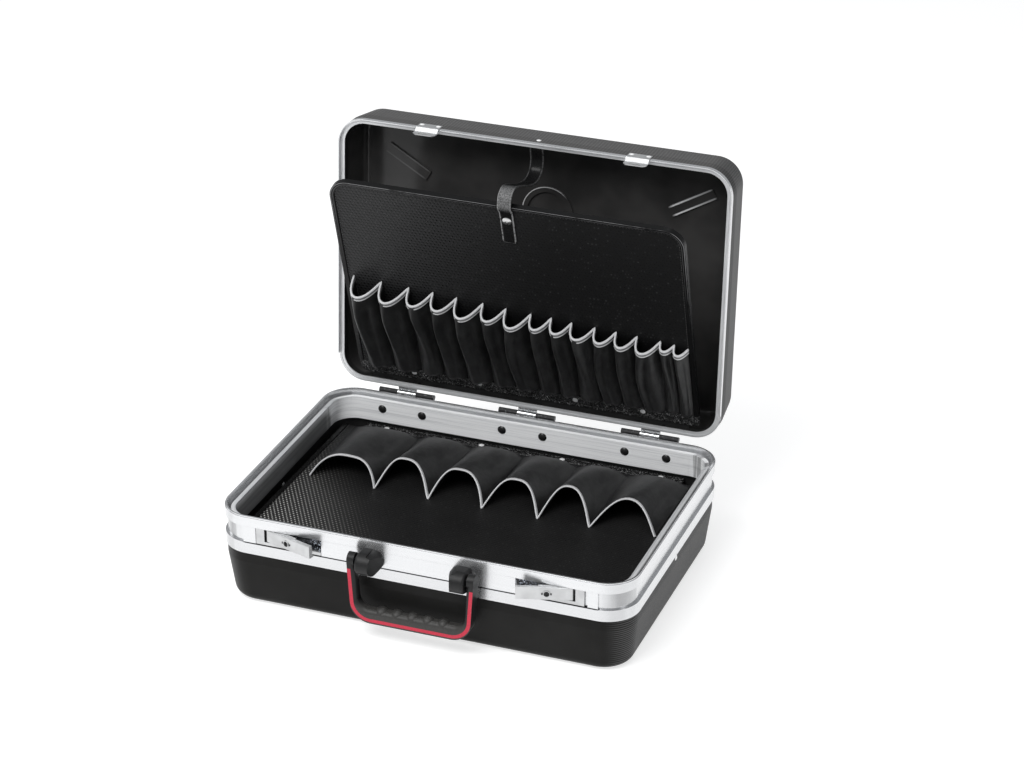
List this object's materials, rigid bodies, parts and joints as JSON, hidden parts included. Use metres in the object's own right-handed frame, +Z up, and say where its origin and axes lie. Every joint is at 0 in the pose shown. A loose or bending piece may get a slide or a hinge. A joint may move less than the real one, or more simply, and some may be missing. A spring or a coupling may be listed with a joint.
{
  "type": "hard tool case",
  "caption": "Open hard tool case: moulded shells with aluminium edge frames, hinged lid, swing latches, folding handle, a lid tool panel with pockets and a lift-up base tool panel.",
  "frame": {"origin": "on the floor, centred under the base shell", "axes": "+Z up, +X along the case's width to the viewer's right, +Y from the latches to the hinges"},
  "size_m": [0.48, 0.4396, 0.4475],
  "materials": {
    "black_shell": "fine embossed grain, satin gloss",
    "black_rail": "matt black",
    "aluminium_frame": "bright anodised, brushed along its length",
    "latch_steel": "satin nickel plate",
    "lock_chrome": "bright plate with a dark keyway",
    "bright_rivet": "bright",
    "black_rivet": "black lacquer",
    "hinge_steel": "black lacquer, worn at the edges",
    "handle_black": "fine matt grain",
    "red_inlay": "satin",
    "panel_board": "embossed dots, semi gloss",
    "panel_binding": "black leathercloth, sewn",
    "pocket_fabric": "black synthetic leathercloth in folds",
    "silver_binding": "light grey bound tape",
    "strap_leather": "black grained leather",
    "snap_metal": "black lacquer"
  },
  "bodies": {
    "base": {"base_shell": "black_shell", "base_frame": "aluminium_frame", "base_inner_rail": "black_rail", "side_rivets": "bright_rivet", "front_trim_left": "aluminium_frame", "front_trim_middle": "aluminium_frame", "front_trim_right": "aluminium_frame", "latch_housing_left": "latch_steel", "latch_housing_right": "latch_steel", "latch_pivot_pin_left": "latch_steel", "latch_pivot_pin_right": "latch_steel", "handle_bracket_left": "handle_black", "handle_bracket_right": "handle_black", "handle_bracket_rivets": "bright_rivet", "handle_pin_left": "hinge_steel", "handle_pin_right": "hinge_steel", "hinge_base_leaf_left": "hinge_steel", "hinge_base_leaf_middle": "hinge_steel", "hinge_base_leaf_right": "hinge_steel", "hinge_pins": "hinge_steel", "hinge_rivets_base": "black_rivet", "base_panel_hem": "panel_board", "base_panel_bracket": "black_rail", "base_panel_rivets": "bright_rivet", "base_panel_rest_left": "black_rail", "base_panel_rest_right": "black_rail"},
    "lid": {"lid_frame": "aluminium_frame", "lid_inner_rail": "black_rail", "lid_shell": "black_shell", "hasp_left": "latch_steel", "hasp_right": "latch_steel", "hasp_rivets": "bright_rivet", "strap_rivet": "bright_rivet", "hinge_lid_leaf_left": "hinge_steel", "hinge_lid_leaf_middle": "hinge_steel", "hinge_lid_leaf_right": "hinge_steel", "hinge_rivets_lid": "black_rivet", "lid_panel_hem": "panel_board", "lid_panel_bracket": "black_rail", "lid_panel_rivets": "bright_rivet"},
    "lid_panel": {"lid_panel_board": "panel_board", "lid_panel_binding": "panel_binding", "lid_panel_pockets": "pocket_fabric", "lid_pocket_trim": "silver_binding", "strap": "strap_leather", "strap_snap": "snap_metal"},
    "latch_left": {"latch_lever_left": "latch_steel", "latch_hook_pin_left": "latch_steel"},
    "latch_right": {"latch_lever_right": "latch_steel", "latch_hook_pin_right": "latch_steel"},
    "lock_left": {"lock_cylinder_left": "lock_chrome"},
    "lock_right": {"lock_cylinder_right": "lock_chrome"},
    "hook_left": {"latch_hook_left": "latch_steel"},
    "hook_right": {"latch_hook_right": "latch_steel"},
    "handle": {"handle_grip": "handle_black", "handle_inlay": "red_inlay"},
    "base_panel": {"base_panel_board": "panel_board", "base_panel_binding": "panel_binding", "base_panel_pockets": "pocket_fabric", "base_pocket_trim": "silver_binding"}
  },
  "joints": [
    {"name": "lid_hinge", "type": "hinge", "parent": "base", "child": "lid", "pos_m": [0, 0.17237, 0.1114], "axis": [1, 0, 0], "range_deg": [0, 93.26], "deforming": ["lid_panel_pockets", "lid_pocket_trim"]},
    {"name": "lid_panel_fold", "type": "hinge", "parent": "lid", "child": "lid_panel", "pos_m": [0, 0.17176, 0.14732], "axis": [1, 0, 0], "range_deg": [-20.6, 0], "deforming": ["strap"]},
    {"name": "latch_swing_left", "type": "hinge", "parent": "base", "child": "latch_left", "pos_m": [-0.175, -0.1635, 0.09115], "axis": [0, 0, -1], "range_deg": [-17, 45]},
    {"name": "latch_swing_right", "type": "hinge", "parent": "base", "child": "latch_right", "pos_m": [0.175, -0.1635, 0.09115], "axis": [0, 0, 1], "range_deg": [-17, 45]},
    {"name": "hook_turn_left", "type": "hinge", "parent": "latch_left", "child": "hook_left", "pos_m": [-0.14189, -0.1732, 0.09115], "axis": [0, 0, -1], "range_deg": [-0.85, 2.25]},
    {"name": "hook_turn_right", "type": "hinge", "parent": "latch_right", "child": "hook_right", "pos_m": [0.14189, -0.1732, 0.09115], "axis": [0, 0, 1], "range_deg": [-0.85, 2.25]},
    {"name": "key_turn_left", "type": "hinge", "parent": "latch_left", "child": "lock_left", "pos_m": [-0.15023, -0.17484, 0.09115], "axis": [-0.2924, -0.9563, 0], "range_deg": [0, 90]},
    {"name": "key_turn_right", "type": "hinge", "parent": "latch_right", "child": "lock_right", "pos_m": [0.15023, -0.17484, 0.09115], "axis": [0.2924, -0.9563, 0], "range_deg": [0, 90]},
    {"name": "handle_swing", "type": "hinge", "parent": "base", "child": "handle", "pos_m": [0, -0.182, 0.0935], "axis": [-1, 0, 0], "range_deg": [0, 95]},
    {"name": "base_panel_lift", "type": "hinge", "parent": "base", "child": "base_panel", "pos_m": [0, 0.1476, 0.07], "axis": [1, 0, 0], "range_deg": [-55, 0]}
  ],
  "couplings": [
    {"joint": "lid_panel_fold", "follows": "lid_hinge", "ratio": -0.22089},
    {"joint": "hook_turn_left", "follows": "latch_swing_left", "ratio": 0.05},
    {"joint": "hook_turn_right", "follows": "latch_swing_right", "ratio": 0.05}
  ]
}
